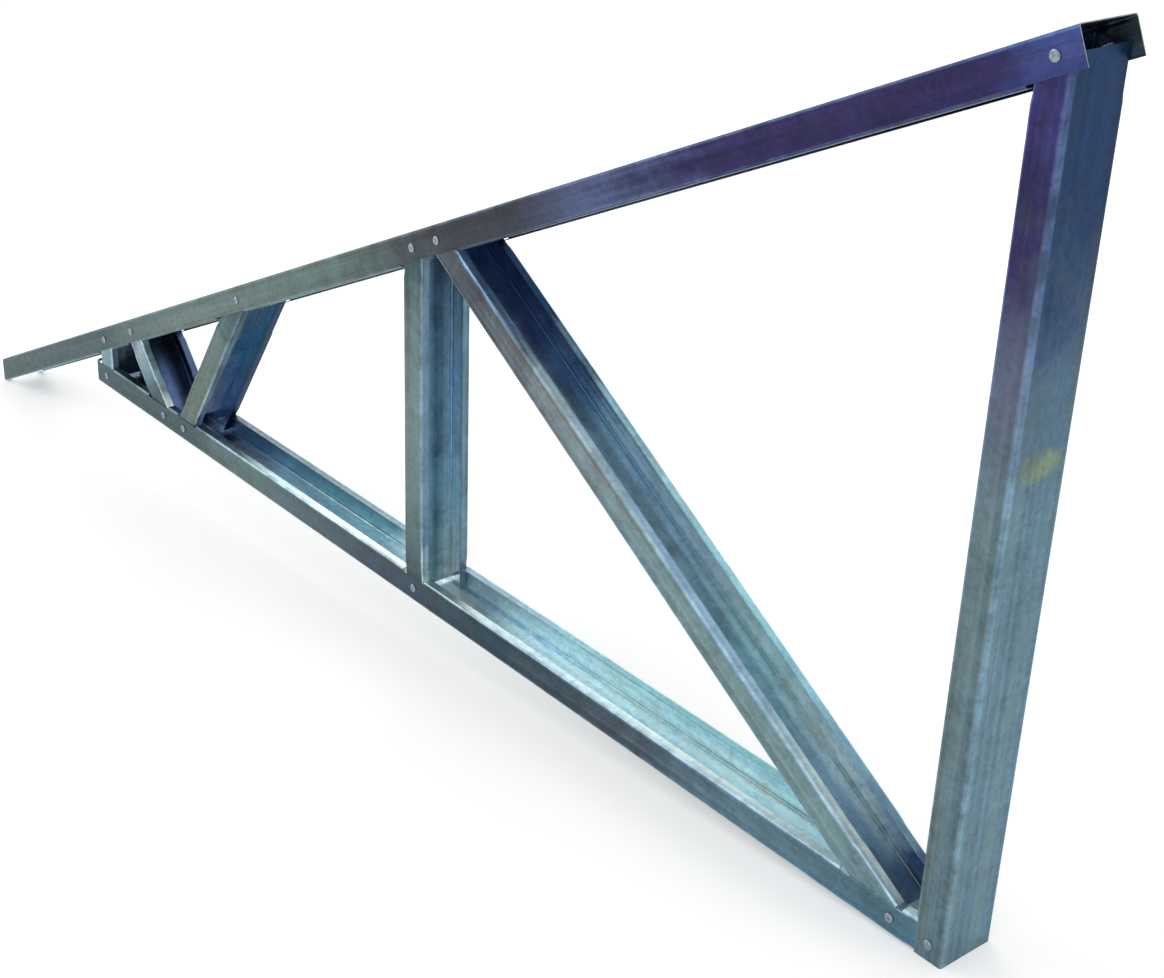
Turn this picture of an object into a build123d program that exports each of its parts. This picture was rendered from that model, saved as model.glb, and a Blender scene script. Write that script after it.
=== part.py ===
from build123d import *
import math
import os

# Half of a light roof truss, made of one lipped channel, cold-formed from galvanised sheet.
# It is set out with the bottom chord level: X runs along that chord and is zero on the
# outer face of the end post, Z is zero on the chord's underside, Y is zero at mid depth.
# All lengths are in millimetres.

# Lipped channel
sheet = 1.0
section_depth = 75.0
flange = 38.0
lip = 12.0
bend_radius = 2.0

# Outline of the truss
pitch = 25.0
span = 1812.0
heel_gap = 8.4
eave_overhang = 393.0
apex_setback = 1.0

# Places of the webs, along the bottom chord's length
vertical_from_post = 912.0
diagonal_foot_from_post = 71.0
diagonal_head_from_vertical = 51.0
inner_foot_from_heel = 284.0
inner_head_from_heel = 467.0
outer_foot_from_heel = 221.5
outer_head_from_heel = 129.0
stub_inset = 13.0

# Joints, where a pressed-in end nests between the flanges of the channel that it meets
fit_gap = 0.2
swage_margin = 5.0
swage_taper = 8.0
notch_margin = 5.0
end_clearance = 2.0
overrun = 20.0

# Sizes that follow from those above
pitch_angle = math.radians(pitch)
pressed_depth = section_depth - 2 * (sheet + fit_gap)
half_flange = flange / 2
bend_height = sheet + bend_radius
heel_height = flange + heel_gap + flange / math.cos(pitch_angle)
rise = heel_height + span * math.tan(pitch_angle)
up_the_slope = Vector(math.cos(pitch_angle), 0, math.sin(pitch_angle))
below_the_slope = Vector(math.sin(pitch_angle), 0, -math.cos(pitch_angle))


def on_bottom_chord(x):
    """The point of the bottom chord's centreline at x."""
    return Vector(x, 0, half_flange)


def on_top_chord(x):
    """The point of the top chord's centreline at x."""
    return Vector(x, 0, rise + x * math.tan(pitch_angle) - half_flange / math.cos(pitch_angle))


def channel_section(outer_depth):
    """The channel's outline: its web lies at the left, and its lips face each other at the right."""
    outside = RectangleRounded(flange, outer_depth, sheet + bend_radius)
    inside = RectangleRounded(flange - 2 * sheet, outer_depth - 2 * sheet, bend_radius)
    mouth = Pos(half_flange, 0) * Rectangle(2 * bend_height, outer_depth - 2 * lip)
    return outside - inside - mouth


def channel_plane(start, end, open_towards):
    """The frame of a channel: Z runs along it, and X points from its web to its open side."""
    axis = (end - start).normalized()
    across = open_towards - axis * open_towards.dot(axis)
    return Plane(origin=start, x_dir=across, z_dir=axis)


def channel(start, end, open_towards, start_swage=0, end_swage=0):
    """A channel on the line from start to end, with its ends pressed in over the given lengths."""
    plane = channel_plane(start, end, open_towards)
    length = (end - start).length
    full = channel_section(section_depth)
    pressed = channel_section(pressed_depth)
    if start_swage + end_swage >= length:
        return extrude(plane * pressed, amount=length)
    body = extrude(plane.offset(start_swage) * full, amount=length - start_swage - end_swage)
    if start_swage:
        flat = start_swage - swage_taper
        body += extrude(plane * pressed, amount=flat)
        body += loft([plane.offset(flat) * pressed, plane.offset(start_swage) * full], ruled=True)
    if end_swage:
        shoulder = length - end_swage
        flat = shoulder + swage_taper
        body += loft([plane.offset(shoulder) * full, plane.offset(flat) * pressed], ruled=True)
        body += extrude(plane.offset(flat) * pressed, amount=length - flat)
    return body


def joint_angle(direction, chord_direction):
    """The angle between a web and a chord, from 0 to 90 degrees, in radians."""
    angle = math.radians(direction.get_angle(chord_direction))
    return min(angle, math.pi - angle)


def end_of_web(crossing, outwards, chord_direction):
    """Where a square-cut web stops, so that its corner clears the bend inside the chord."""
    angle = joint_angle(outwards, chord_direction)
    depth_in_chord = bend_height + end_clearance + half_flange * math.cos(angle)
    return crossing + outwards * ((half_flange - depth_in_chord) / math.sin(angle))


def reach_of_chord(outwards, chord_direction):
    """How far along a web, from its crossing with a chord's centreline, that chord covers it."""
    angle = joint_angle(outwards, chord_direction)
    return half_flange / math.sin(angle) + half_flange / math.tan(angle)


def web(foot, head, open_towards):
    """A web between the crossings with the two chords, with both its ends pressed in."""
    upwards = (head - foot).normalized()
    level = Vector(1, 0, 0)
    start = end_of_web(foot, upwards * -1, level)
    end = end_of_web(head, upwards, up_the_slope)
    tail = swage_margin + swage_taper
    foot_swage = (foot - start).dot(upwards) + reach_of_chord(upwards, level) + tail
    head_swage = (end - head).dot(upwards) + reach_of_chord(upwards, up_the_slope) + tail
    return channel(start, end, open_towards, foot_swage, head_swage)


def notch(chord_plane, crossing, web_direction, run_out=0):
    """The cut that clears a chord's lips and their bends where a web goes in, or on to its end."""
    place = chord_plane.to_local_coords(crossing)
    local = chord_plane.to_local_coords(crossing + web_direction) - place
    lean = local.Z / local.X
    wide = flange * math.sqrt(1 + lean ** 2)
    wide += bend_height * abs(lean) + 2 * notch_margin
    middle = place.Z + (half_flange - bend_height / 2) * lean + run_out / 2
    tool = Box(bend_height + overrun, section_depth + 2 * overrun, wide + run_out)
    return chord_plane * Pos(half_flange - bend_height + (bend_height + overrun) / 2, 0, middle) * tool


def web_lines():
    """The crossings of each web with the two chords, and the side that it is open to."""
    right = Vector(1, 0, 0)
    vertical = -vertical_from_post
    stub = stub_inset + half_flange - span
    return {
        "vertical_web": (on_bottom_chord(vertical), on_top_chord(vertical), right),
        "long_diagonal": (
            on_bottom_chord(-diagonal_foot_from_post),
            on_top_chord(vertical + diagonal_head_from_vertical),
            right,
        ),
        "inner_short_web": (
            on_bottom_chord(inner_foot_from_heel - span),
            on_top_chord(inner_head_from_heel - span),
            right,
        ),
        "outer_short_web": (
            on_bottom_chord(outer_foot_from_heel - span),
            on_top_chord(outer_head_from_heel - span),
            right,
        ),
        "heel_stub": (on_bottom_chord(stub), on_top_chord(stub), right),
    }


def top_chord(webs):
    """The sloping chord: open side down, tail cut plumb, apex cut square, lips notched for the webs."""
    tail = -(span + eave_overhang)
    start = on_top_chord(tail - overrun)
    end = Vector(0, 0, rise) + below_the_slope * half_flange - up_the_slope * apex_setback
    plane = channel_plane(start, end, below_the_slope)
    chord = channel(start, end, below_the_slope)
    chord = split(chord, bisect_by=Plane(origin=(tail, 0, 0), z_dir=(1, 0, 0)), keep=Keep.TOP)
    for foot, head, _ in webs:
        chord -= notch(plane, head, head - foot)
    post_head = on_top_chord(-half_flange)
    return chord - notch(plane, post_head, Vector(0, 0, 1), run_out=overrun)


def bottom_chord(webs):
    """The level chord: open side up, lips notched for the webs, right end nested in the post."""
    start = on_bottom_chord(-span)
    end = on_bottom_chord(-bend_height)
    up = Vector(0, 0, 1)
    plane = channel_plane(start, end, up)
    chord = channel(start, end, up, end_swage=flange - bend_height + swage_margin + swage_taper)
    for foot, head, _ in webs:
        chord -= notch(plane, foot, head - foot)
    return chord


def end_post():
    """The post: closed side out, foot cut square round the bottom chord, head nested in the top one."""
    up = Vector(0, 0, 1)
    left = Vector(-1, 0, 0)
    foot = Vector(-half_flange, 0, 0)
    crossing = on_top_chord(-half_flange)
    end = end_of_web(crossing, up, up_the_slope)
    swage = (end - crossing).dot(up) + reach_of_chord(up, up_the_slope) + swage_margin + swage_taper
    post = channel(foot, end, left, end_swage=swage)
    plane = channel_plane(foot, end, left)
    return post - notch(plane, on_bottom_chord(-half_flange), Vector(1, 0, 0))


def truss_pieces():
    """Every channel of the truss by name, with the bottom chord level."""
    lines = web_lines()
    pieces = {
        "top_chord": top_chord(lines.values()),
        "bottom_chord": bottom_chord(lines.values()),
        "end_post": end_post(),
    }
    for name, (foot, head, open_towards) in lines.items():
        pieces[name] = web(foot, head, open_towards)
    return pieces


def set_down(pieces):
    """Turns the truss onto the eave's tip and the post's foot, and centres it over the origin."""
    tip = on_top_chord(-(span + eave_overhang)) - Vector(0, 0, half_flange / math.cos(pitch_angle))
    lean = math.degrees(math.atan(tip.Z / tip.X))
    turned = {name: Rotation(0, lean, 0) * piece for name, piece in pieces.items()}
    boxes = [piece.bounding_box() for piece in turned.values()]
    middle = (min(box.min.X for box in boxes) + max(box.max.X for box in boxes)) / 2
    place = Pos(-middle, 0, -min(box.min.Z for box in boxes))
    return {name: place * piece for name, piece in turned.items()}


os.makedirs("parts", exist_ok=True)
for name, piece in set_down(truss_pieces()).items():
    export_step(piece, f"parts/{name}.step")
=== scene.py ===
"""Looks of a light steel truss: its galvanised finish, joint screws, floor, lamps and camera."""

import logging
import math
from dataclasses import dataclass, field
from enum import Enum
from typing import Iterable

import bmesh
import bpy
from bmesh.types import BMesh, BMEdge, BMVert
from mathutils import Matrix, Vector


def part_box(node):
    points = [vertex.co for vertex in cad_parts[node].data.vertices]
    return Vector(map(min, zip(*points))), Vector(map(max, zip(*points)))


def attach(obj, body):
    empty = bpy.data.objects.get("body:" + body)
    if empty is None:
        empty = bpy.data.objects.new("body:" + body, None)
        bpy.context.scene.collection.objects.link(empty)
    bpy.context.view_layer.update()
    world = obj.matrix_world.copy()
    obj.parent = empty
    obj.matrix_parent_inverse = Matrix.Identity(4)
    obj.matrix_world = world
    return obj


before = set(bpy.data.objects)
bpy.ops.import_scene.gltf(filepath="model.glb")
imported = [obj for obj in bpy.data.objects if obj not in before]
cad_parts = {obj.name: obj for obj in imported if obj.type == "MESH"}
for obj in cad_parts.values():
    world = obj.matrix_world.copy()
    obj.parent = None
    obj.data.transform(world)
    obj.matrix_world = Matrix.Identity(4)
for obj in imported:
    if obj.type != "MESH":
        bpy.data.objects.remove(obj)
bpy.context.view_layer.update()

MM = 0.001
SECTION_DEPTH = 75 * MM
FLANGE = 38 * MM
SHEET = 1 * MM
OUTER_BEND = 3 * MM

# The sockets of a Mix node that take its two colours, and the one that gives the result
MIX_COLOURS, MIX_RESULT = (6, 7), 2

# The spread of values that a ramp takes in: all of them, nearly all, most, and those near the middle
FULL, WIDE, MOST, NARROW = (0.0, 1.0), (0.25, 0.75), (0.3, 0.7), (0.35, 0.65)

log = logging.getLogger("truss")

Colour = tuple[float, float, float]
Place = tuple[float, float, float]
Span = tuple[float, float]
Socket = bpy.types.NodeSocket


class Face(Enum):
    """The two broad sides of the truss, by the way that each looks along Y."""

    FRONT = -1
    BACK = 1


class Recipe:
    """A material's node tree, written one node at a time."""

    def __init__(self, name: str) -> None:
        """Starts an empty material.

        Args:
            name: the material's name.
        """
        self.material = bpy.data.materials.new(name)
        self.material.use_nodes = True
        self.tree = self.material.node_tree
        self.tree.nodes.clear()

    def add(self, kind: str, **settings: object) -> bpy.types.Node:
        """Adds a node.

        Args:
            kind: the node's type.
            settings: attributes of the node.

        Returns:
            The new node.
        """
        node = self.tree.nodes.new(kind)
        for name, value in settings.items():
            setattr(node, name, value)
        return node

    def join(self, source: Socket, target: Socket) -> None:
        """Links one socket to another."""
        self.tree.links.new(source, target)

    def turned(self, source: Socket, turn: float, centre: Iterable[float] = (0, 0, 0)) -> Socket:
        """Turns a set of coordinates about Y, and then moves it.

        Args:
            source: the coordinates.
            turn: the turn, in radians.
            centre: what is added at the end.

        Returns:
            The socket of the new coordinates.
        """
        node = self.add("ShaderNodeMapping")
        node.inputs["Rotation"].default_value = (0, turn, 0)
        node.inputs["Location"].default_value = tuple(centre)
        self.join(source, node.inputs["Vector"])
        return node.outputs["Vector"]

    def stretched(self, source: Socket, factors: Iterable[float]) -> Socket:
        """Multiplies each axis of a set of coordinates by its own factor.

        Args:
            source: the coordinates.
            factors: the three factors.

        Returns:
            The socket of the new coordinates.
        """
        node = self.add("ShaderNodeVectorMath", operation="MULTIPLY")
        self.join(source, node.inputs[0])
        node.inputs[1].default_value = tuple(factors)
        return node.outputs[0]

    def dot(self, first: Socket, second: Socket) -> Socket:
        """Multiplies two vectors into one number.

        Args:
            first: the first vector.
            second: the second vector.

        Returns:
            The socket of the number.
        """
        node = self.add("ShaderNodeVectorMath", operation="DOT_PRODUCT")
        self.join(first, node.inputs[0])
        self.join(second, node.inputs[1])
        return node.outputs["Value"]

    def folded(self, source: Socket) -> Socket:
        """Drops the signs of a set of coordinates.

        Args:
            source: the coordinates.

        Returns:
            The socket of the new coordinates.
        """
        node = self.add("ShaderNodeVectorMath", operation="ABSOLUTE")
        self.join(source, node.inputs[0])
        return node.outputs[0]

    def distance(self, source: Socket, point: Iterable[float]) -> Socket:
        """Measures how far a set of coordinates lies from a point.

        Args:
            source: the coordinates.
            point: the point.

        Returns:
            The socket of the distance.
        """
        node = self.add("ShaderNodeVectorMath", operation="DISTANCE")
        self.join(source, node.inputs[0])
        node.inputs[1].default_value = tuple(point)
        return node.outputs["Value"]

    def split(self, source: Socket) -> tuple[Socket, ...]:
        """Takes a vector apart.

        Args:
            source: the vector.

        Returns:
            The sockets of its three parts.
        """
        node = self.add("ShaderNodeSeparateXYZ")
        self.join(source, node.inputs[0])
        return node.outputs[0], node.outputs[1], node.outputs[2]

    def graded(self, share: Socket, tints: "Band") -> Socket:
        """Grades a colour between tints.

        Args:
            share: where a point lies, from 0 to 1.
            tints: the tints in order, and where each stands.

        Returns:
            The socket of the colour.
        """
        node = self.add("ShaderNodeValToRGB")
        band = node.color_ramp
        while len(band.elements) < len(tints):
            band.elements.new(1.0)
        while len(band.elements) > len(tints):
            band.elements.remove(band.elements[-1])
        for element, (position, tint) in zip(band.elements, tints):
            element.position = position
            element.color = (*tint.value, 1.0)
        self.join(share, node.inputs["Fac"])
        return node.outputs["Color"]

    def noise(self, source: Socket, scale: float, detail: float = 3.0,
              roughness: float = 0.55, distortion: float = 0.0) -> Socket:
        """Adds a noise.

        Args:
            source: the coordinates.
            scale: how many bumps there are in each unit.
            detail: the number of finer layers.
            roughness: how strong the finer layers are.
            distortion: how far the pattern swirls.

        Returns:
            The socket of its value, from 0 to 1.
        """
        node = self.add("ShaderNodeTexNoise")
        node.inputs["Scale"].default_value = scale
        node.inputs["Detail"].default_value = detail
        node.inputs["Roughness"].default_value = roughness
        node.inputs["Distortion"].default_value = distortion
        self.join(source, node.inputs["Vector"])
        return node.outputs["Fac"]

    def ramp(self, source: Socket, low: float, high: float, out_low: float = 0.0,
             out_high: float = 1.0, smooth: bool = True) -> Socket:
        """Maps a range of values onto another, and holds it at both ends.

        Args:
            source: the value.
            low: the value that gives out_low.
            high: the value that gives out_high.
            out_low: the result at low.
            out_high: the result at high.
            smooth: whether the change starts and ends softly.

        Returns:
            The socket of the result.
        """
        node = self.add("ShaderNodeMapRange", interpolation_type="SMOOTHSTEP" if smooth else "LINEAR")
        node.clamp = True
        limits = {"From Min": low, "From Max": high, "To Min": out_low, "To Max": out_high}
        for name, value in limits.items():
            node.inputs[name].default_value = value
        self.join(source, node.inputs["Value"])
        return node.outputs["Result"]

    def maths(self, operation: str, first: Socket, second: "Socket | float") -> Socket:
        """Does a sum.

        Args:
            operation: the sum's name.
            first: the first value.
            second: the second value, a socket or a number.

        Returns:
            The socket of the result.
        """
        node = self.add("ShaderNodeMath", operation=operation)
        self.join(first, node.inputs[0])
        if isinstance(second, Socket):
            self.join(second, node.inputs[1])
        else:
            node.inputs[1].default_value = second
        return node.outputs[0]

    def blend(self, share: "Socket | float", first: "Socket | Colour",
              second: "Socket | Colour", mode: str = "MIX") -> Socket:
        """Blends two colours.

        Args:
            share: how much of the second colour there is.
            first: the first colour.
            second: the second colour.
            mode: the way of blending.

        Returns:
            The socket of the result.
        """
        node = self.add("ShaderNodeMix", data_type="RGBA", blend_type=mode, clamp_result=True)
        if isinstance(share, Socket):
            self.join(share, node.inputs["Factor"])
        else:
            node.inputs["Factor"].default_value = share
        for place, value in zip(MIX_COLOURS, (first, second)):
            if isinstance(value, Socket):
                self.join(value, node.inputs[place])
            else:
                node.inputs[place].default_value = (*value, 1.0)
        return node.outputs[MIX_RESULT]

    def bump(self, height: Socket, rise: float, under: "Socket | None" = None) -> Socket:
        """Adds a bump.

        Args:
            height: the height, from 0 to 1.
            rise: what a height of 1 measures, in metres.
            under: the bump that this one lies on.

        Returns:
            The socket of the bumped normal.
        """
        node = self.add("ShaderNodeBump")
        node.inputs["Strength"].default_value = 1.0
        node.inputs["Distance"].default_value = rise
        self.join(height, node.inputs["Height"])
        if under is not None:
            self.join(under, node.inputs["Normal"])
        return node.outputs["Normal"]


class Tint(Enum):
    """The colours of the zinc, as linear values, from weathered and filmed to pale. The darkest also serve
    as painted shade, and the palest as painted highlights and reflections.
    """

    INK = (0.012, 0.024, 0.050)
    PLUM = (0.029, 0.025, 0.090)
    INDIGO = (0.038, 0.038, 0.145)
    NIGHT = (0.008, 0.037, 0.106)
    MIDNIGHT = (0.034, 0.110, 0.320)
    DARK_SLATE = (0.021, 0.058, 0.084)
    SLATE = (0.062, 0.095, 0.130)
    SMOKE = (0.032, 0.038, 0.052)
    DARK_TEAL = (0.042, 0.092, 0.112)
    DULL = (0.035, 0.078, 0.085)
    TAUPE = (0.064, 0.079, 0.098)
    DEEP = (0.080, 0.130, 0.220)
    STEEL = (0.075, 0.102, 0.200)
    STORM = (0.060, 0.112, 0.178)
    BLUE_FILM = (0.050, 0.068, 0.215)
    HAZE = (0.105, 0.132, 0.200)
    OLIVE_GREY = (0.100, 0.158, 0.137)
    GREY = (0.112, 0.176, 0.176)
    COOL_GREY = (0.120, 0.192, 0.224)
    PALE_GREY = (0.155, 0.235, 0.232)
    WARM_GREY = (0.180, 0.220, 0.240)
    BRINE = (0.076, 0.172, 0.232)
    TEAL = (0.120, 0.220, 0.278)
    SEA_GREY = (0.168, 0.272, 0.300)
    EVENING = (0.125, 0.200, 0.330)
    DUSK = (0.165, 0.265, 0.370)
    COBALT = (0.145, 0.225, 0.460)
    SOFT = (0.230, 0.335, 0.375)
    PEARL = (0.300, 0.390, 0.395)
    SEA = (0.060, 0.205, 0.290)
    SHALLOWS = (0.135, 0.300, 0.305)
    LAKE = (0.100, 0.310, 0.390)
    LAGOON = (0.205, 0.440, 0.620)
    CLOUD = (0.285, 0.425, 0.545)
    SKY = (0.355, 0.520, 0.670)
    POOL = (0.315, 0.585, 0.660)
    BRIGHT = (0.390, 0.530, 0.560)
    AZURE = (0.280, 0.500, 0.890)
    PALE_BLUE = (0.500, 0.710, 0.800)
    AQUA = (0.520, 0.820, 0.905)
    FROST = (0.800, 0.960, 0.980)
    WHITE = (0.930, 1.000, 1.000)


Band = tuple[tuple[float, Tint], ...]


def even(tint: Tint) -> Band:
    """Returns the band of a tint that stays the same all along a channel."""
    return ((0.0, tint),)


@dataclass(frozen=True)
class Coat:
    """The tints of one channel's sides, outside and in its hollow, with the light and shade painted on them.

    Each band gives tints and where they stand along the channel, from 0 at its lower or left end
    to 1 at the other. Besides the zinc's own colour, the bands hold painted light: painted shade near
    the joints, and painted highlights and reflections on the lips and in the hollow. A width says how
    far from the corner of the front bend on the closed side the zinc is worn and painted with a
    highlight, worn how strongly that wear and highlight show at all outer bends, and one last share
    how strongly painted shade darkens the middle of the hollow.
    """

    flange: Band
    web: Band
    lip: Band
    far_lip: Band
    floor: Band
    wall: Band
    worn_and_highlit: float = 4 * MM
    worn: float = 1.0
    middle_shade: float = 0.0


class Zinc(Enum):
    """The coats of the truss: zinc that weathered grey, an indigo chromate film towards the apex, and
    painted shade and highlights.
    """

    # Each band mixes the zinc's own tints with painted light. Near the joints, under the top chord and at
    # the feet, the tints darken as painted shade. The lips and the hollow's floor and walls take pale tints,
    # up to white, as painted highlights and reflections where they face the light, and each far lip is
    # tinted apart from the near one for the same reason.
    TOP_CHORD = Coat(
        flange=((0.18, Tint.DULL), (0.30, Tint.GREY), (0.50, Tint.OLIVE_GREY), (0.61, Tint.SMOKE),
                (0.69, Tint.SMOKE), (0.74, Tint.STEEL), (0.80, Tint.PLUM), (0.95, Tint.PLUM),
                (0.98, Tint.BLUE_FILM)),
        web=((0.55, Tint.GREY), (0.80, Tint.NIGHT)),
        lip=((0.55, Tint.COOL_GREY), (0.80, Tint.NIGHT)),
        far_lip=((0.55, Tint.COOL_GREY), (0.80, Tint.NIGHT)),
        floor=((0.55, Tint.SOFT), (0.80, Tint.DEEP), (0.93, Tint.INK)),
        wall=((0.55, Tint.SOFT), (0.80, Tint.DEEP), (0.93, Tint.INK), (0.99, Tint.INK),
              (1.00, Tint.SEA_GREY)),
        worn=0.4,
    )
    BOTTOM_CHORD = Coat(
        flange=((0.17, Tint.DULL), (0.28, Tint.GREY), (0.42, Tint.SLATE), (0.60, Tint.DARK_SLATE),
                (0.72, Tint.SLATE), (0.84, Tint.TEAL), (0.95, Tint.BRINE)),
        web=even(Tint.GREY),
        lip=((0.17, Tint.DARK_TEAL), (0.28, Tint.PALE_GREY), (0.38, Tint.BRIGHT), (0.60, Tint.PEARL),
             (0.75, Tint.BRIGHT)),
        far_lip=((0.15, Tint.INK), (0.30, Tint.DARK_TEAL), (0.60, Tint.TEAL), (0.73, Tint.SHALLOWS),
                 (0.84, Tint.SHALLOWS), (0.95, Tint.BRINE)),
        floor=((0.04, Tint.NIGHT), (0.14, Tint.MIDNIGHT), (0.18, Tint.WHITE)),
        wall=((0.00, Tint.INK), (0.13, Tint.MIDNIGHT), (0.17, Tint.AZURE), (0.28, Tint.SEA),
              (0.40, Tint.LAKE), (0.50, Tint.WHITE), (0.60, Tint.AQUA)),
    )
    POST = Coat(
        flange=((0.58, Tint.COOL_GREY), (0.70, Tint.HAZE), (0.85, Tint.PLUM), (0.94, Tint.INDIGO)),
        web=((0.57, Tint.TEAL), (0.72, Tint.STORM), (0.84, Tint.NIGHT)),
        lip=((0.60, Tint.COOL_GREY), (0.85, Tint.NIGHT)),
        far_lip=((0.60, Tint.COOL_GREY), (0.85, Tint.NIGHT)),
        floor=((0.60, Tint.SOFT), (0.85, Tint.DEEP)),
        wall=((0.60, Tint.SOFT), (0.85, Tint.DEEP)),
        worn_and_highlit=7.5 * MM,
        worn=0.6,
    )
    UPRIGHT = Coat(
        flange=((0.05, Tint.DULL), (0.22, Tint.GREY), (0.50, Tint.PALE_GREY), (0.74, Tint.GREY),
                (0.95, Tint.DULL)),
        web=even(Tint.PALE_GREY),
        lip=((0.05, Tint.FROST), (0.20, Tint.DUSK)),
        far_lip=((0.05, Tint.DUSK), (0.50, Tint.TEAL), (0.80, Tint.TEAL), (0.95, Tint.STORM)),
        floor=((0.00, Tint.FROST), (0.28, Tint.PALE_BLUE), (0.75, Tint.SKY), (0.92, Tint.CLOUD)),
        wall=((0.00, Tint.WHITE), (0.28, Tint.PALE_BLUE), (0.50, Tint.SKY), (0.72, Tint.CLOUD),
              (0.92, Tint.DEEP)),
        worn=0.6,
        middle_shade=0.9,
    )
    DIAGONAL = Coat(
        flange=((0.00, Tint.SEA_GREY), (0.50, Tint.SEA_GREY), (0.72, Tint.WARM_GREY), (0.90, Tint.TAUPE)),
        web=even(Tint.PALE_GREY),
        lip=((0.12, Tint.BRIGHT), (0.28, Tint.CLOUD), (0.60, Tint.CLOUD), (0.72, Tint.SOFT),
             (0.82, Tint.STORM), (0.95, Tint.AZURE)),
        far_lip=((0.06, Tint.STORM), (0.25, Tint.POOL), (0.60, Tint.POOL), (0.72, Tint.TEAL),
                 (0.83, Tint.NIGHT)),
        floor=((0.05, Tint.CLOUD), (0.20, Tint.PALE_BLUE), (0.34, Tint.POOL), (0.50, Tint.CLOUD),
               (0.72, Tint.CLOUD), (0.85, Tint.COBALT), (1.00, Tint.AZURE)),
        wall=((0.06, Tint.EVENING), (0.16, Tint.WHITE), (0.45, Tint.WHITE), (0.63, Tint.FROST),
              (0.74, Tint.CLOUD), (0.83, Tint.EVENING), (1.00, Tint.COBALT)),
        middle_shade=0.35,
    )
    INNER_SHORT_WEB = Coat(
        flange=((0.20, Tint.OLIVE_GREY), (0.55, Tint.OLIVE_GREY), (0.70, Tint.GREY), (0.90, Tint.DULL)),
        web=even(Tint.COOL_GREY),
        lip=((0.10, Tint.DUSK), (0.30, Tint.SKY), (0.55, Tint.DUSK), (0.90, Tint.DARK_TEAL)),
        far_lip=even(Tint.NIGHT),
        floor=((0.28, Tint.WHITE), (0.40, Tint.AQUA), (0.52, Tint.LAGOON), (0.75, Tint.CLOUD)),
        wall=((0.28, Tint.AZURE), (0.45, Tint.LAGOON)),
        worn=0.7,
    )
    OUTER_SHORT_WEB = Coat(
        flange=((0.28, Tint.DULL), (0.50, Tint.TEAL), (0.72, Tint.SOFT), (0.90, Tint.COOL_GREY)),
        web=even(Tint.COOL_GREY),
        lip=((0.10, Tint.FROST), (0.30, Tint.SOFT), (0.50, Tint.AQUA)),
        far_lip=even(Tint.DEEP),
        floor=((0.30, Tint.COBALT), (0.75, Tint.DEEP)),
        wall=((0.20, Tint.DULL), (0.45, Tint.NIGHT)),
    )
    STUB = Coat(
        flange=even(Tint.SEA_GREY),
        web=even(Tint.COOL_GREY),
        lip=even(Tint.CLOUD),
        far_lip=even(Tint.SOFT),
        floor=even(Tint.SKY),
        wall=even(Tint.SKY),
    )


@dataclass(frozen=True)
class Stain:
    """A faint olive stain, worked into the zinc of one closed side.

    The share says where along the channel its middle lies. It fades over the edge, in halves of its
    size, and the mottle leaves the least or the most of its cover.
    """

    share: float
    length: float
    width: float
    colour: Colour
    edge: Span = (0.55, 1.15)
    mottle: Span = (0.35, 0.6)
    cover: Span = (0.3, 0.8)


POST_STAIN = Stain(share=0.595, length=36 * MM, width=66 * MM, colour=(0.205, 0.270, 0.140))


@dataclass
class Patterns:
    """The sockets of what runs all over a channel's sheet."""

    streak: Socket
    cast: Socket
    hairline: Socket
    mottle: Socket
    wave: Socket
    grain: tuple[Socket, ...]


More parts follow.
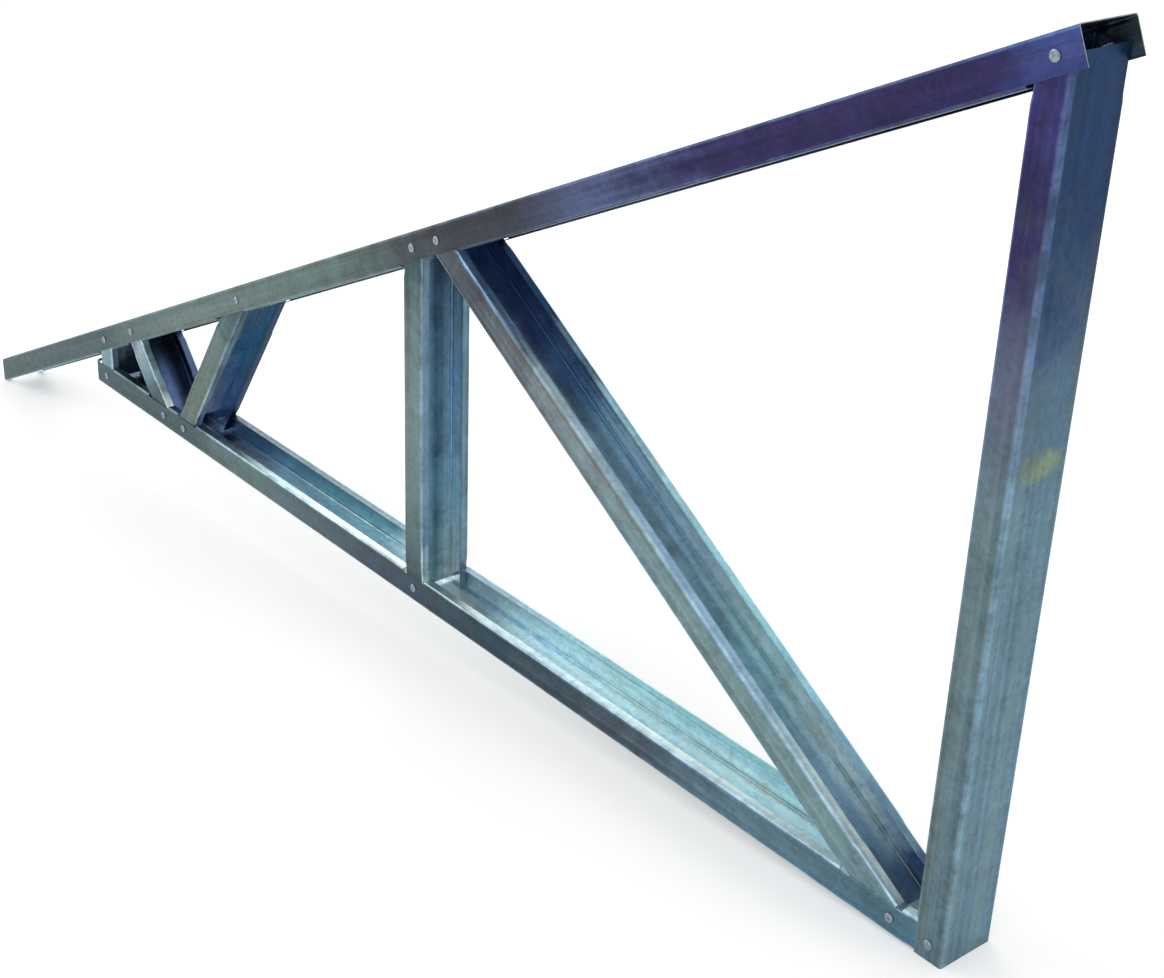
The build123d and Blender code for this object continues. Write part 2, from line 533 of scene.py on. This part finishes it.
@dataclass(frozen=True)
class ZincFinish:
    """Hot-dip zinc on rolled sheet: spangled, streaked along the rolling, worn bright and painted with a
    highlight at the bends, and painted with shade in its hollow.

    Its lie, offset, start and end are those of the channel. A change of tint strays along the channel
    by a share of its length, up to the longest drift. Each shade says how far a pattern lightens and
    darkens the sheet, and each rise how high the pattern stands. The wear with its painted highlight,
    and the painted shade of the hollow, multiply a colour. They fade over their edges, and a least part
    of them stays where the mottle breaks them up.
    A lean says how far a surface has to look towards a side to take that side's tint.
    """

    coat: Coat
    lie: float
    offset: float
    start: float
    end: float
    stain: "Stain | None" = None
    spangle_size: float = 5.5 * MM
    streak_width: float = 9 * MM
    streak_length: float = 700 * MM
    hairline_width: float = 1.6 * MM
    hairline_length: float = 160 * MM
    mottle_size: float = 38 * MM
    wave_size: float = 130 * MM
    longest_drift: float = 45 * MM
    drift_share: float = 0.045
    cast_width: float = 15 * MM
    cast_length: float = 420 * MM
    streak_shade: Span = (0.82, 1.14)
    mottle_shade: float = 0.16
    hairline_shade: float = 0.06
    spangle_shade: float = 0.08
    cast_shade: float = 0.06
    roughness: Span = (0.34, 0.46)
    spangle_roughness: float = 0.05
    wave_rise: float = 0.9 * MM
    hairline_rise: float = 0.02 * MM
    spangle_rise: float = 0.01 * MM
    # Worn zinc and a painted highlight at the outer bends: a gain, a bare colour and its share, and the
    # reaches of the front bend and of every bend.
    highlight_and_wear_gain: Colour = (2.4, 2.4, 2.4)
    bare_and_highlit_zinc: Colour = (0.30, 0.42, 0.60)
    bare_and_highlit_share: float = 0.4
    bend_wear_and_highlight: float = 0.8
    bend_edge: Span = (2.6 * MM, 3.6 * MM)
    front_wear_and_highlight_share: Span = (0.10, 0.60)
    least_front_wear_and_highlight: float = 0.20
    least_wear_and_highlight: float = 0.3
    # Painted shade in the hollow: its colour, cover and edge in the inner bends, the least of it that the
    # mottle leaves, and the edge of the darker middle.
    hollow_shade: Colour = (0.28, 0.44, 0.54)
    hollow_shade_cover: float = 0.75
    hollow_shade_edge: Span = (OUTER_BEND / 2, 6.5 * MM)
    least_hollow_shade: float = 0.4
    middle_shade_edge: Span = (8 * MM, 30 * MM)
    side_lean: Span = (0.4, 0.8)
    inside_edge: float = 2 * MM
    cut_lean: Span = (0.6, 0.9)
    cut_steel: Colour = (0.30, 0.34, 0.36)
    metallic: float = 0.9

    def patterns(self, recipe: Recipe, place: Socket, section: Socket) -> Patterns:
        """Makes the patterns of the sheet.

        Args:
            recipe: the material's node tree.
            place: object coordinates.
            section: the same, turned so that X runs along the channel.

        Returns:
            The patterns.
        """
        spangle = recipe.add("ShaderNodeTexVoronoi", feature="F1")
        spangle.inputs["Scale"].default_value = 1 / self.spangle_size
        recipe.join(place, spangle.inputs["Vector"])
        streaks, casts, hairlines = (
            recipe.stretched(section, (1 / length, 1 / width, 1 / width)) for length, width in (
                (self.streak_length, self.streak_width), (self.cast_length, self.cast_width),
                (self.hairline_length, self.hairline_width)))
        return Patterns(
            streak=recipe.noise(streaks, 1.0),
            cast=recipe.noise(casts, 1.0, detail=2.0),
            hairline=recipe.noise(hairlines, 1.0, detail=2.0),
            mottle=recipe.noise(place, 1 / self.mottle_size, detail=5.0, roughness=0.62, distortion=0.4),
            wave=recipe.noise(place, 1 / self.wave_size, detail=1.0),
            grain=recipe.split(spangle.outputs["Color"]),
        )

    def share(self, recipe: Recipe, section: Socket, patterns: Patterns) -> Socket:
        """Tells how far along the channel a point lies, with an uneven edge to every change of colour.

        Args:
            recipe: the material's node tree.
            section: the channel's own coordinates.
            patterns: the patterns that shift the edges.

        Returns:
            The socket of the share, from 0 to 1.
        """
        along = recipe.split(section)[0]
        reach = min(self.longest_drift, abs(self.end - self.start) * self.drift_share)
        for pattern in (patterns.wave, patterns.streak, patterns.mottle):
            along = recipe.maths("ADD", along, recipe.ramp(pattern, *WIDE, -reach, reach, smooth=False))
        return recipe.ramp(along, self.start, self.end, smooth=False)

    def stained(self, recipe: Recipe, section: Socket, patterns: Patterns, colour: Socket) -> Socket:
        """Lays the stain over a colour, if the channel has one.

        Args:
            recipe: the material's node tree.
            section: the channel's own coordinates.
            patterns: the patterns that break the stain up.
            colour: the colour below it.

        Returns:
            The socket of the colour.
        """
        if self.stain is None:
            return colour
        middle = self.start + self.stain.share * (self.end - self.start)
        along, across = 2 / self.stain.length, 2 / self.stain.width
        distance = recipe.distance(recipe.stretched(section, (along, across, 0)), (middle * along, 0, 0))
        cover = recipe.ramp(distance, *self.stain.edge, 1.0, 0.0)
        broken = recipe.ramp(patterns.mottle, *self.stain.mottle, *self.stain.cover)
        return recipe.blend(recipe.maths("MULTIPLY", cover, broken), colour, self.stain.colour)

    def worn_and_highlit(self, recipe: Recipe, section: Socket, share: Socket,
               patterns: Patterns, colour: Socket) -> Socket:
        """Brightens a colour along the outer bends, where handling rubs the zinc bare, and paints a
        highlight there, widest along the front bend of the closed side.

        Args:
            recipe: the material's node tree.
            section: the channel's own coordinates.
            share: how far along the channel a point lies, from 0 to 1.
            patterns: the patterns that break the wear and highlight up.
            colour: the colour of the sheet.

        Returns:
            The socket of the colour.
        """
        across = recipe.stretched(section, (0, 1, 1))
        corner = recipe.distance(recipe.folded(across), (0, SECTION_DEPTH / 2, FLANGE / 2))
        front_corner = recipe.distance(across, (0, -SECTION_DEPTH / 2, -FLANGE / 2))
        # Worn zinc and a painted highlight: widest along the front bend of the closed side and weaker
        # towards the channel's start, narrow at every outer bend.
        front = recipe.maths("MULTIPLY", recipe.ramp(front_corner, OUTER_BEND, self.coat.worn_and_highlit, 1.0, 0.0),
                             recipe.ramp(share, *self.front_wear_and_highlight_share, self.least_front_wear_and_highlight, 1.0))
        worn = recipe.maths("MAXIMUM", front, recipe.ramp(corner, *self.bend_edge, self.bend_wear_and_highlight, 0.0))
        most = self.coat.worn
        broken = recipe.ramp(patterns.mottle, *MOST, self.least_wear_and_highlight * most, most)
        worn = recipe.maths("MULTIPLY", worn, broken)
        bright = recipe.blend(1.0, colour, self.highlight_and_wear_gain, mode="MULTIPLY")
        return recipe.blend(worn, colour, recipe.blend(self.bare_and_highlit_share, bright, self.bare_and_highlit_zinc))

    def hollow_shaded(self, recipe: Recipe, section: Socket, patterns: Patterns, colour: Socket) -> Socket:
        """Darkens a colour in the inner bends and along the middle of the hollow: painted shade, which also
        dims the reflection in the inner bends.

        Args:
            recipe: the material's node tree.
            section: the channel's own coordinates.
            patterns: the patterns that break the painted shade up.
            colour: the colour of the hollow.

        Returns:
            The socket of the colour.
        """
        across = recipe.folded(recipe.stretched(section, (0, 1, 1)))
        corner = recipe.distance(across, (0, SECTION_DEPTH / 2 - SHEET, FLANGE / 2 - SHEET))
        # Painted shade in the inner bends.
        cover = recipe.maths("MULTIPLY", recipe.ramp(corner, *self.hollow_shade_edge, self.hollow_shade_cover, 0.0),
                             recipe.ramp(patterns.mottle, *NARROW, self.least_hollow_shade, 1.0))
        # Painted shade along the middle of the hollow.
        middle = recipe.ramp(recipe.split(across)[1], *self.middle_shade_edge, self.coat.middle_shade, 0.0)
        cover = recipe.maths("MAXIMUM", cover, middle)
        return recipe.blend(cover, colour, recipe.blend(1.0, colour, self.hollow_shade, mode="MULTIPLY"))

    def colour(self, recipe: Recipe, section: Socket, facing: Socket, patterns: Patterns) -> Socket:
        """Colours each side of the channel, with the light and shade painted into its bands and its hollow.

        Args:
            recipe: the material's node tree.
            section: the channel's own coordinates.
            facing: the surface's direction, turned like them.
            patterns: the patterns of the sheet.

        Returns:
            The socket of the colour.
        """
        share, coat = self.share(recipe, section, patterns), self.coat
        flange, web, lip, far_lip, floor, wall = (
            recipe.graded(share, tints)
            for tints in (coat.flange, coat.web, coat.lip, coat.far_lip, coat.floor, coat.wall))
        along, _, openwards = recipe.split(facing)
        least_lean, full_lean = self.side_lean
        opened = recipe.ramp(openwards, least_lean, full_lean)
        # The near and far lips take their own bands: how the light falls on each is painted into them.
        both_lips = recipe.blend(recipe.ramp(recipe.split(section)[1], -MM, MM), lip, far_lip)
        web = self.stained(recipe, section, patterns, web)
        outside = recipe.blend(recipe.ramp(openwards, -full_lean, -least_lean, 1.0, 0.0), flange, web)
        outside = self.worn_and_highlit(recipe, section, share, patterns, recipe.blend(opened, outside, both_lips))
        # The hollow's floor and walls take their own bands, painted lighter where they face the light and
        # darker where shade falls, with painted shade in the inner bends and the middle on top.
        inside = self.hollow_shaded(recipe, section, patterns, recipe.blend(opened, wall, floor))
        outward = recipe.dot(recipe.stretched(section, (0, 1, 1)), recipe.stretched(facing, (0, 1, 1)))
        colour = recipe.blend(recipe.ramp(outward, -self.inside_edge, self.inside_edge), inside, outside)
        cut = recipe.ramp(recipe.maths("ABSOLUTE", along, 0.0), *self.cut_lean)
        return recipe.blend(cut, colour, self.cut_steel)

    def shade(self, recipe: Recipe, patterns: Patterns) -> Socket:
        """Makes the lighter, darker, warmer and cooler marks of the sheet.

        Args:
            recipe: the material's node tree.
            patterns: the patterns of the sheet.

        Returns:
            The socket of a near grey that multiplies the colour.
        """
        shade = recipe.ramp(patterns.streak, *MOST, *self.streak_shade)
        for pattern, spread, reach in (
                (patterns.mottle, MOST, self.mottle_shade), (patterns.hairline, NARROW, self.hairline_shade),
                (patterns.grain[0], FULL, self.spangle_shade)):
            shade = recipe.maths("ADD", shade, recipe.ramp(pattern, *spread, -reach, reach))
        warmth = recipe.ramp(patterns.cast, *NARROW, -self.cast_shade, self.cast_shade)
        marks = recipe.add("ShaderNodeCombineXYZ")
        recipe.join(recipe.maths("ADD", shade, warmth), marks.inputs[0])
        recipe.join(shade, marks.inputs[1])
        recipe.join(recipe.maths("SUBTRACT", shade, warmth), marks.inputs[2])
        return marks.outputs[0]

    def material(self, name: str) -> bpy.types.Material:
        """Makes the finish for one channel.

        Args:
            name: the material's name.

        Returns:
            The material.
        """
        recipe = Recipe(name)
        seen = recipe.add("ShaderNodeTexCoord")
        section = recipe.turned(seen.outputs["Object"], self.lie, (0, 0, -self.offset))
        facing = recipe.turned(seen.outputs["Normal"], self.lie)
        patterns = self.patterns(recipe, seen.outputs["Object"], section)
        colour = self.colour(recipe, section, facing, patterns)

        steel = recipe.add("ShaderNodeBsdfPrincipled")
        steel.inputs["Metallic"].default_value = self.metallic
        recipe.join(recipe.blend(1.0, colour, self.shade(recipe, patterns), mode="MULTIPLY"),
                    steel.inputs["Base Color"])
        uneven = self.spangle_roughness
        roughness = recipe.maths("ADD", recipe.ramp(patterns.mottle, *MOST, *self.roughness),
                                 recipe.ramp(patterns.grain[1], *FULL, -uneven, uneven, smooth=False))
        recipe.join(roughness, steel.inputs["Roughness"])
        normal = recipe.bump(patterns.wave, self.wave_rise)
        normal = recipe.bump(patterns.hairline, self.hairline_rise, normal)
        recipe.join(recipe.bump(patterns.grain[2], self.spangle_rise, normal), steel.inputs["Normal"])
        out = recipe.add("ShaderNodeOutputMaterial")
        recipe.join(steel.outputs["BSDF"], out.inputs["Surface"])
        return recipe.material


@dataclass(frozen=True)
class ScrewFinish:
    """Bright zinc plating on a hardened screw, worn dull in blotches."""

    plating: Colour = (0.30, 0.34, 0.42)
    worn: Colour = (0.16, 0.19, 0.22)
    worn_spread: Span = (0.45, 0.7)
    blotch_size: float = 2.5 * MM
    blotch_rise: float = 0.02 * MM
    roughness: Span = (0.24, 0.42)

    def material(self, name: str) -> bpy.types.Material:
        """Makes the finish.

        Args:
            name: the material's name.

        Returns:
            The material.
        """
        recipe = Recipe(name)
        place = recipe.add("ShaderNodeTexCoord").outputs["Object"]
        blotch = recipe.noise(place, 1 / self.blotch_size, detail=3.0)
        steel = recipe.add("ShaderNodeBsdfPrincipled")
        steel.inputs["Metallic"].default_value = 1.0
        colour = recipe.blend(recipe.ramp(blotch, *self.worn_spread), self.plating, self.worn)
        recipe.join(colour, steel.inputs["Base Color"])
        recipe.join(recipe.ramp(blotch, *MOST, *self.roughness), steel.inputs["Roughness"])
        recipe.join(recipe.bump(blotch, self.blotch_rise), steel.inputs["Normal"])
        out = recipe.add("ShaderNodeOutputMaterial")
        recipe.join(steel.outputs["BSDF"], out.inputs["Surface"])
        return recipe.material


@dataclass
class Channel:
    """One channel of the truss, with what its node's mesh says of how it lies."""

    name: str
    zinc: Zinc
    openwards: Vector = field(init=False)
    offset: float = field(init=False)

    def __post_init__(self) -> None:
        """Reads which way the channel's open side looks, and where its middle line runs."""
        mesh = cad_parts[self.name].data
        cosine = sine = 0.0
        for polygon in mesh.polygons:
            normal = polygon.normal
            twice = 2 * math.atan2(normal.z, normal.x)
            weight = polygon.area * (normal.x ** 2 + normal.z ** 2)
            cosine += weight * math.cos(twice)
            sine += weight * math.sin(twice)
        # The two sides of a sheet look opposite ways, and doubling the angle makes them count as one.
        lean = math.atan2(sine, cosine) / 2
        self.openwards = Vector((math.cos(lean), 0, math.sin(lean)))
        self.offset = self.middle()
        # Most of the sheet lies towards the closed side.
        heavy = sum(
            polygon.area * (polygon.center.dot(self.openwards) - self.offset) for polygon in mesh.polygons)
        if heavy > 0:
            self.openwards.negate()
            self.offset = -self.offset

    def middle(self) -> float:
        """Returns how far the channel's middle line lies from the origin, towards its open side."""
        reach = [vertex.co.dot(self.openwards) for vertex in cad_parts[self.name].data.vertices]
        return (min(reach) + max(reach)) / 2

    def lie(self) -> float:
        """Returns the angle, in radians, that turns X along the channel and Z towards its open side."""
        return math.atan2(-self.openwards.x, self.openwards.z)

    def crossing(self, other: "Channel") -> Vector:
        """Finds where this channel's middle line meets another's.

        Args:
            other: the other channel.

        Returns:
            The point, at mid depth.
        """
        mine, its = self.openwards, other.openwards
        spread = mine.x * its.z - mine.z * its.x
        return Vector((
            (self.offset * its.z - other.offset * mine.z) / spread,
            0,
            (mine.x * other.offset - its.x * self.offset) / spread,
        ))

    def ends(self) -> tuple[float, float]:
        """Finds where the channel starts and stops along its length.

        Returns:
            The places of its lower or left end and of its other end, along the axis that lie() sets.
        """
        axis = Vector((math.cos(self.lie()), 0, math.sin(self.lie())))
        reach = [vertex.co.dot(axis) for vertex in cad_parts[self.name].data.vertices]
        low, high = min(reach), max(reach)
        upwards_or_right = axis.z + axis.x / 2 > 0
        return (low, high) if upwards_or_right else (high, low)

    def dress(self) -> None:
        """Puts the zinc finish on the channel's node."""
        stain = POST_STAIN if self.zinc is Zinc.POST else None
        finish = ZincFinish(self.zinc.value, self.lie(), self.offset, *self.ends(), stain)
        material = finish.material("zinc_" + self.name)
        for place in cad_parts[self.name].material_slots:
            place.material = material
        log.info("%s: lies at %.1f degrees", self.name, math.degrees(self.lie()))


@dataclass
class Screw:
    """A self-drilling screw with a low round head and a cross recess, seated on a flange.

    The crown's rings are shares of the head's radius, and the taper is what is left of the recess's
    width at its floor. Below the shank, the drill is as wide as the flutes and then as the point, and
    it ends in a narrow chisel edge. The thread's root lies inside the shank, and its half width is a
    share of its pitch.
    """

    name: str
    seat: Vector
    side: Face
    turn: float
    head_width: float = 11.2 * MM
    head_height: float = 2.0 * MM
    rim_height: float = 0.7 * MM
    recess_reach: float = 2.3 * MM
    recess_width: float = 0.62 * MM
    recess_depth: float = 1.3 * MM
    recess_taper: float = 0.62
    crown_rings: tuple[float, ...] = (0.72, 0.9, 1.0)
    shank_width: float = 3.6 * MM
    length: float = 15 * MM
    tip_length: float = 4.2 * MM
    flute_width: float = 2.88 * MM
    flute_drop: float = 0.504 * MM
    point_width: float = 2.52 * MM
    point_height: float = 1.08 * MM
    chisel_width: float = 0.288 * MM
    thread_width: float = 4.8 * MM
    thread_pitch: float = 1.4 * MM
    thread_root: float = 0.96
    thread_half: float = 0.28
    thread_steps: int = 12

    def build(self, material: bpy.types.Material) -> bpy.types.Object:
        """Builds the screw in place.

        Args:
            material: its finish.

        Returns:
            The screw's object.
        """
        shape = bmesh.new()
        ring = self.recessed_crown(shape)
        self.body(shape, ring)
        bmesh.ops.recalc_face_normals(shape, faces=shape.faces)
        self.thread(shape)
        for face in shape.faces:
            face.smooth = True
        upright = Matrix.Rotation(math.radians(-90 * self.side.value), 4, "X")
        place = Matrix.Translation(self.seat) @ upright @ Matrix.Rotation(self.turn, 4, "Z")
        bmesh.ops.transform(shape, matrix=place, verts=shape.verts)
        mesh = bpy.data.meshes.new(self.name)
        shape.to_mesh(mesh)
        shape.free()
        mesh.materials.append(material)
        piece = bpy.data.objects.new(self.name, mesh)
        bpy.context.scene.collection.objects.link(piece)
        return piece

    def recessed_crown(self, shape: BMesh) -> list[BMEdge]:
        """Makes the crown of the head round its cross recess.

        Args:
            shape: the mesh that takes it.

        Returns:
            The open ring of edges at the crown's rim.
        """
        made = bmesh.ops.create_grid(shape, x_segments=3, y_segments=3, size=1.0)["verts"]
        inner, outer = self.recess_width, self.recess_reach
        between = 0.5
        for vert in made:
            for axis in (0, 1):
                reach = outer if abs(vert.co[axis]) > between else inner
                vert.co[axis] = math.copysign(reach, vert.co[axis])
        corners = [face for face in shape.faces if min(abs(c) for c in face.calc_center_median().xy) > inner]
        bmesh.ops.delete(shape, geom=corners, context="FACES")
        bmesh.ops.subdivide_edges(shape, edges=[edge for edge in shape.edges if edge.is_boundary], cuts=1)
        cross = list(shape.faces)
        rim = [edge for edge in shape.edges if edge.is_boundary]
        for vert in shape.verts:
            vert.co.z = self.crown_height(vert.co.xy.length)
        radius = self.head_width / 2
        for share in self.crown_rings:
            rim = self.ring_outwards(shape, rim, radius * share)
        for vert in {v for edge in rim for v in edge.verts}:
            vert.co.z = self.rim_height
        floor = bmesh.ops.extrude_face_region(shape, geom=cross)["geom"]
        bmesh.ops.delete(shape, geom=cross, context="FACES_ONLY")
        sunk = [item for item in floor if isinstance(item, BMVert)]
        for vert in sunk:
            vert.co.z -= self.recess_depth
            vert.co.xy *= self.recess_taper
        return rim

    def crown_height(self, radius: float) -> float:
        """Returns how high the domed crown is at a distance from the screw's axis."""
        share = min(1.0, 2 * radius / self.head_width)
        return self.rim_height + (self.head_height - self.rim_height) * math.sqrt(max(0.0, 1 - share ** 2))

    def ring_outwards(self, shape: BMesh, rim: list[BMEdge], radius: float) -> list[BMEdge]:
        """Widens the crown by one ring of faces.

        Args:
            shape: the mesh.
            rim: the ring of edges that it grows from.
            radius: the new ring's radius.

        Returns:
            The new ring of edges.
        """
        made = bmesh.ops.extrude_edge_only(shape, edges=rim)["geom"]
        verts = [item for item in made if isinstance(item, BMVert)]
        verts.sort(key=lambda vert: math.atan2(vert.co.y, vert.co.x))
        start = math.atan2(verts[0].co.y, verts[0].co.x)
        for index, vert in enumerate(verts):
            angle = start + 2 * math.pi * index / len(verts)
            vert.co = Vector((radius * math.cos(angle), radius * math.sin(angle), self.crown_height(radius)))
        return [item for item in made if isinstance(item, BMEdge)]

    def body(self, shape: BMesh, rim: list[BMEdge]) -> None:
        """Makes the rim, shank and drill tip below the crown.

        Args:
            shape: the mesh.
            rim: the crown's open ring.
        """
        neck = -self.length + self.tip_length
        outline = (
            (self.head_width, 0.0), (self.shank_width, 0.0), (self.shank_width, neck),
            (self.flute_width, neck - self.flute_drop), (self.point_width, -self.length + self.point_height),
            (self.chisel_width, -self.length),
        )
        ring = rim
        for width, height in outline:
            made = bmesh.ops.extrude_edge_only(shape, edges=ring)["geom"]
            for vert in (item for item in made if isinstance(item, BMVert)):
                vert.co.xy = vert.co.xy.normalized() * (width / 2)
                vert.co.z = height
            ring = [item for item in made if isinstance(item, BMEdge)]
        bmesh.ops.contextual_create(shape, geom=ring)

    def thread(self, shape: BMesh) -> None:
        """Winds the thread round the shank.

        Args:
            shape: the mesh.
        """
        root, crest = self.shank_width / 2 * self.thread_root, self.thread_width / 2
        half = self.thread_pitch * self.thread_half
        start = -self.length + self.tip_length
        turns = (-self.thread_pitch - start) / self.thread_pitch
        points = ((root, 0, start - half), (crest, 0, start), (root, 0, start + half))
        verts = [shape.verts.new(point) for point in points]
        first = shape.faces.new(verts)
        steps = round(turns * self.thread_steps)
        made = bmesh.ops.spin(
            shape, geom=[first, *first.edges, *verts], cent=(0, 0, 0), axis=(0, 0, 1),
            dvec=(0, 0, turns * self.thread_pitch / steps), angle=2 * math.pi * turns, steps=steps,
            use_duplicate=False)
        wound = {face for item in made["geom_last"] if isinstance(item, BMVert) for face in item.link_faces}
        grown = set(wound)
        while wound:
            wound = {near for face in wound for edge in face.edges for near in edge.link_faces} - grown
            grown |= wound
        bmesh.ops.recalc_face_normals(shape, faces=list(grown))


@dataclass
class Joints:
    """The screws of the truss: one through each flange, wherever two channels cross.

    Their recesses are turned by so many degrees for each joint and each side, so that no two lie alike.
    """

    channels: dict[str, Channel]
    joint_turn: float = 37
    side_turn: float = 20
    depth: float = field(init=False)

    def __post_init__(self) -> None:
        """Reads the depth of the channels from the top chord."""
        low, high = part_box("top_chord")
        self.depth = high.y - low.y

    def places(self) -> dict[str, Vector]:
        """Lists the joints.

        Returns:
            The middle of each joint, by its name.
        """
        top, bottom, post = (self.channels[name] for name in ("top_chord", "bottom_chord", "end_post"))
        found = {"end_post_head": post.crossing(top), "end_post_foot": post.crossing(bottom)}
        for name, channel in self.channels.items():
            if channel not in (top, bottom, post):
                found[name + "_head"] = channel.crossing(top)
                found[name + "_foot"] = channel.crossing(bottom)
        return found

    def build(self) -> None:
        """Drives every screw."""
        plating = ScrewFinish().material("screw_plating")
        for number, (joint, middle) in enumerate(self.places().items()):
            for side in Face:
                seat = middle + Vector((0, side.value * self.depth / 2, 0))
                turn = math.radians(self.joint_turn * number + self.side_turn * side.value)
                name = f"screw_{joint}_{side.name.lower()}"
                piece = Screw(name, seat, side, turn).build(plating)
                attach(piece, "root")
                log.info("%s: %d faces", name, len(piece.data.polygons))


@dataclass(frozen=True)
class Lamp:
    """A soft lamp that points at the truss.

    Its radiance says how bright its face is, where that of a white world is 1.
    """

    name: str
    place: Place
    width: float
    height: float
    radiance: float
    aim: Place = (0, 0, 0.3)

    def hang(self) -> None:
        """Hangs the lamp, out of the camera's sight."""
        data = bpy.data.lights.new(self.name, "AREA")
        data.shape = "RECTANGLE"
        data.size, data.size_y = self.width, self.height
        data.energy = self.radiance * math.pi * self.width * self.height
        lamp = bpy.data.objects.new(self.name, data)
        lamp.location = self.place
        lamp.rotation_euler = (Vector(self.aim) - Vector(self.place)).to_track_quat("-Z", "Y").to_euler()
        lamp.visible_camera = False
        bpy.context.scene.collection.objects.link(lamp)


@dataclass(frozen=True)
class Studio:
    """The pale floor, the world, the lamps and the camera.

    The camera stands at its station. It looks along its heading, in degrees from +X, dips below the
    level and rolls a little.
    """

    lamps: tuple[Lamp, ...] = (
        Lamp("sky_lamp", place=(-3.4, 2.7, 2.2), width=2.6, height=2.0, radiance=3.4),
        Lamp("fill_lamp", place=(-3.4, -2.4, 2.5), width=2.4, height=2.0, radiance=2.4),
    )
    floor_radius: float = 30.0
    floor_sides: int = 96
    floor_colour: Colour = (0.86, 0.86, 0.86)
    floor_glow: float = 0.38
    world_strength: float = 0.72
    station: Place = (2.05435, -1.29208, 1.19206)
    heading: float = 140.867
    dip: float = 23.360
    roll: float = -0.294
    lens: float = 59.418
    sensor: float = 36.0

    def seen(self, tree: bpy.types.NodeTree) -> Socket:
        """Tells the rays that show the background from those that light the object.

        Args:
            tree: the node tree that takes the test.

        Returns:
            A socket that is 1 for camera, glossy and transmission rays, and 0 for the rest.
        """
        rays = tree.nodes.new("ShaderNodeLightPath")
        result = rays.outputs["Is Camera Ray"]
        for name in ("Is Glossy Ray", "Is Transmission Ray"):
            either = tree.nodes.new("ShaderNodeMath")
            either.operation = "MAXIMUM"
            tree.links.new(result, either.inputs[0])
            tree.links.new(rays.outputs[name], either.inputs[1])
            result = either.outputs[0]
        return result

    def floor(self) -> None:
        """Lays the floor."""
        shape = bmesh.new()
        bmesh.ops.create_circle(shape, cap_ends=True, segments=self.floor_sides, radius=self.floor_radius)
        mesh = bpy.data.meshes.new("floor")
        shape.to_mesh(mesh)
        shape.free()
        recipe = Recipe("floor_paint")
        paint = recipe.add("ShaderNodeBsdfDiffuse")
        paint.inputs["Color"].default_value = (*self.floor_colour, 1.0)
        glow = recipe.add("ShaderNodeEmission")
        shown = recipe.maths("MULTIPLY", self.seen(recipe.tree), self.floor_glow)
        recipe.join(shown, glow.inputs["Strength"])
        both = recipe.add("ShaderNodeAddShader")
        recipe.join(paint.outputs["BSDF"], both.inputs[0])
        recipe.join(glow.outputs["Emission"], both.inputs[1])
        out = recipe.add("ShaderNodeOutputMaterial")
        recipe.join(both.outputs["Shader"], out.inputs["Surface"])
        mesh.materials.append(recipe.material)
        piece = bpy.data.objects.new("floor", mesh)
        bpy.context.scene.collection.objects.link(piece)

    def world(self) -> None:
        """Sets a white surrounding that lights the object softly."""
        world = bpy.data.worlds.new("surrounding")
        world.use_nodes = True
        tree = world.node_tree
        sky = tree.nodes["Background"]
        sky.inputs["Color"].default_value = (1, 1, 1, 1)
        level = tree.nodes.new("ShaderNodeMapRange")
        level.inputs["To Min"].default_value = self.world_strength
        level.inputs["To Max"].default_value = 1.0
        tree.links.new(self.seen(tree), level.inputs["Value"])
        tree.links.new(level.outputs["Result"], sky.inputs["Strength"])
        bpy.context.scene.world = world

    def camera(self) -> None:
        """Stands the camera where the photograph was taken."""
        data = bpy.data.cameras.new("camera")
        data.lens = self.lens
        data.sensor_width = self.sensor
        camera = bpy.data.objects.new("camera", data)
        turn = Matrix.Rotation(math.radians(self.heading - 90), 4, "Z")
        turn @= Matrix.Rotation(math.radians(90 - self.dip), 4, "X")
        turn @= Matrix.Rotation(math.radians(self.roll), 4, "Z")
        camera.matrix_world = Matrix.Translation(self.station) @ turn
        bpy.context.scene.collection.objects.link(camera)
        bpy.context.scene.camera = camera

    def build(self) -> None:
        """Builds the whole studio."""
        self.floor()
        self.world()
        for lamp in self.lamps:
            lamp.hang()
        self.camera()
        bpy.context.scene.view_settings.view_transform = "Standard"


def main() -> None:
    """Builds the looks of the truss and its studio."""
    logging.basicConfig(level=logging.INFO, format="%(message)s")
    coats = {
        "top_chord": Zinc.TOP_CHORD, "bottom_chord": Zinc.BOTTOM_CHORD, "end_post": Zinc.POST,
        "vertical_web": Zinc.UPRIGHT, "long_diagonal": Zinc.DIAGONAL,
        "inner_short_web": Zinc.INNER_SHORT_WEB, "outer_short_web": Zinc.OUTER_SHORT_WEB,
        "heel_stub": Zinc.STUB,
    }
    channels = {name: Channel(name, zinc) for name, zinc in coats.items()}
    for channel in channels.values():
        channel.dress()
    Joints(channels).build()
    Studio().build()


if __name__ == "__main__":
    main()
